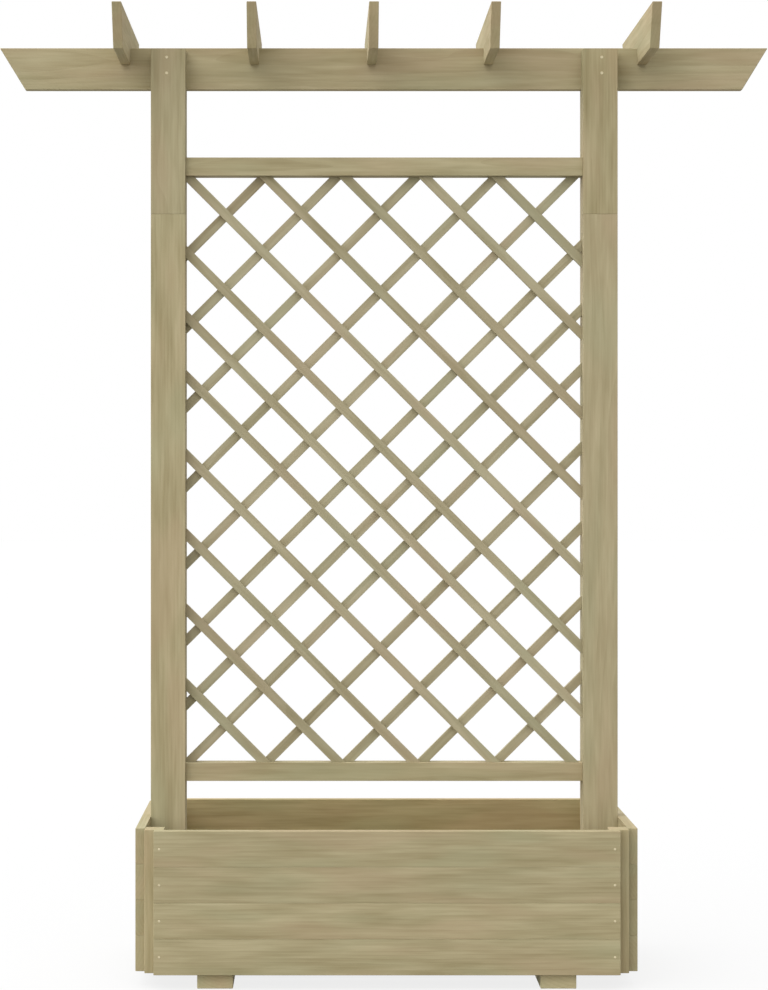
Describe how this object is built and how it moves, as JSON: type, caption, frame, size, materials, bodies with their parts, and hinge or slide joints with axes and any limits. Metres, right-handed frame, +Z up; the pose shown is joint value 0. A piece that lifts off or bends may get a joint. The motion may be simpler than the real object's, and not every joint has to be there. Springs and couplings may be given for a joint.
{
  "type": "planter with trellis",
  "caption": "Pine planter box on runners, with posts that hold a diagonal lattice for climbing plants and a pergola top of a beam and notched rafters.",
  "frame": {"origin": "on the ground, under the middle of the planter box", "axes": "+Z up, front towards -Y, +X to the right as seen from the front"},
  "size_m": [1.568, 0.468, 1.925],
  "materials": {
    "box_pine": "planed, pressure-impregnated",
    "base_pine": "planed, pressure-impregnated",
    "frame_pine": "planed, pressure-impregnated",
    "lattice_pine": "planed, pressure-impregnated"
  },
  "bodies": {
    "root": {"front_board_1": "box_pine", "front_board_2": "box_pine", "front_board_3": "box_pine", "front_board_4": "box_pine", "back_board_1": "box_pine", "back_board_2": "box_pine", "back_board_3": "box_pine", "back_board_4": "box_pine", "left_board_1": "box_pine", "left_board_2": "box_pine", "left_board_3": "box_pine", "left_board_4": "box_pine", "right_board_1": "box_pine", "right_board_2": "box_pine", "right_board_3": "box_pine", "right_board_4": "box_pine", "cleat_front_left": "box_pine", "cleat_front_right": "box_pine", "cleat_back_left": "box_pine", "cleat_back_right": "box_pine", "runner_left": "base_pine", "runner_right": "base_pine", "floor_deck": "base_pine", "post_lower_left": "frame_pine", "post_lower_right": "frame_pine", "post_upper_left": "frame_pine", "post_upper_right": "frame_pine", "rail_bottom": "frame_pine", "rail_top": "frame_pine", "beam": "frame_pine", "rafter_1": "frame_pine", "rafter_2": "frame_pine", "rafter_3": "frame_pine", "rafter_4": "frame_pine", "rafter_5": "frame_pine", "slat_falling_01": "lattice_pine", "slat_falling_02": "lattice_pine", "slat_falling_03": "lattice_pine", "slat_falling_04": "lattice_pine", "slat_falling_05": "lattice_pine", "slat_falling_06": "lattice_pine", "slat_falling_07": "lattice_pine", "slat_falling_08": "lattice_pine", "slat_falling_09": "lattice_pine", "slat_falling_10": "lattice_pine", "slat_falling_11": "lattice_pine", "slat_falling_12": "lattice_pine", "slat_rising_01": "lattice_pine", "slat_rising_02": "lattice_pine", "slat_rising_03": "lattice_pine", "slat_rising_04": "lattice_pine", "slat_rising_05": "lattice_pine", "slat_rising_06": "lattice_pine", "slat_rising_07": "lattice_pine", "slat_rising_08": "lattice_pine", "slat_rising_09": "lattice_pine", "slat_rising_10": "lattice_pine", "slat_rising_11": "lattice_pine", "slat_rising_12": "lattice_pine"}
  },
  "joints": []
}
